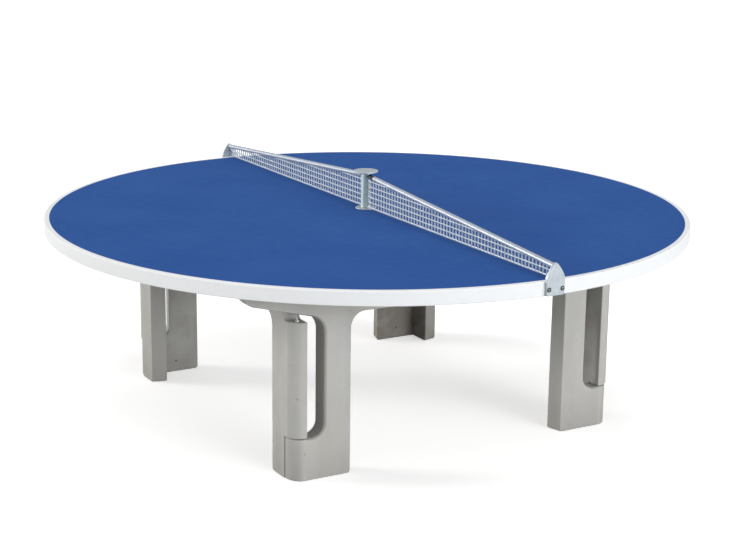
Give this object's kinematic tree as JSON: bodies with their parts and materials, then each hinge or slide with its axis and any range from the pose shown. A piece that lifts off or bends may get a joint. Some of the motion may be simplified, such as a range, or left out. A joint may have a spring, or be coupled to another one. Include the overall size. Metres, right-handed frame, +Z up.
{
  "type": "round table tennis table",
  "caption": "Round outdoor table tennis table: blue cast slab with white rim on interlocked concrete portal frames, with a perforated steel net falling from a middle post to the rim.",
  "frame": {"origin": "on the ground under the middle of the table", "axes": "+Z up, Y along the net, X across the net"},
  "size_m": [2.44, 2.4732, 0.908],
  "materials": {
    "painted_slab": "satin",
    "concrete": "matte",
    "galvanised_steel": "satin",
    "zinc_plated_steel": "satin",
    "brass_inserts": "satin",
    "plug_plastic": "matte"
  },
  "bodies": {
    "root": {"tabletop": "painted_slab", "a_frame_front": "concrete", "a_frame_back": "concrete", "b_frame_left": "concrete", "b_frame_right": "concrete", "end_bracket_near": "galvanised_steel", "end_bracket_far": "galvanised_steel", "net_panel_near": "galvanised_steel", "net_panel_far": "galvanised_steel", "net_rail_near": "galvanised_steel", "net_rail_far": "galvanised_steel", "post_base": "galvanised_steel", "post_cap": "galvanised_steel", "post_tube": "galvanised_steel", "bracket_screw_1": "zinc_plated_steel", "bracket_screw_2": "zinc_plated_steel", "bracket_screw_3": "zinc_plated_steel", "bracket_screw_4": "zinc_plated_steel", "corner_nut_1": "zinc_plated_steel", "corner_nut_2": "zinc_plated_steel", "corner_nut_3": "zinc_plated_steel", "corner_nut_4": "zinc_plated_steel", "corner_stud_1": "zinc_plated_steel", "corner_stud_2": "zinc_plated_steel", "corner_stud_3": "zinc_plated_steel", "corner_stud_4": "zinc_plated_steel", "panel_bracket_screw_1": "zinc_plated_steel", "panel_bracket_screw_2": "zinc_plated_steel", "panel_post_screw_1": "zinc_plated_steel", "panel_post_screw_2": "zinc_plated_steel", "panel_post_screw_3": "zinc_plated_steel", "panel_post_screw_4": "zinc_plated_steel", "slab_bolt_1": "zinc_plated_steel", "slab_bolt_2": "zinc_plated_steel", "slab_bolt_3": "zinc_plated_steel", "slab_bolt_4": "zinc_plated_steel", "slab_bolt_5": "zinc_plated_steel", "slab_bolt_6": "zinc_plated_steel", "slab_bolt_7": "zinc_plated_steel", "slab_bolt_8": "zinc_plated_steel", "tie_rod": "zinc_plated_steel", "tie_rod_nut_1": "zinc_plated_steel", "tie_rod_nut_2": "zinc_plated_steel", "tie_rod_washer": "zinc_plated_steel", "rim_insert_1": "brass_inserts", "rim_insert_2": "brass_inserts", "rim_insert_3": "brass_inserts", "rim_insert_4": "brass_inserts", "slab_insert_1": "brass_inserts", "slab_insert_2": "brass_inserts", "slab_insert_3": "brass_inserts", "slab_insert_4": "brass_inserts", "slab_insert_5": "brass_inserts", "slab_insert_6": "brass_inserts", "slab_insert_7": "brass_inserts", "slab_insert_8": "brass_inserts", "rail_plug_near": "plug_plastic", "rail_plug_far": "plug_plastic"}
  },
  "joints": []
}
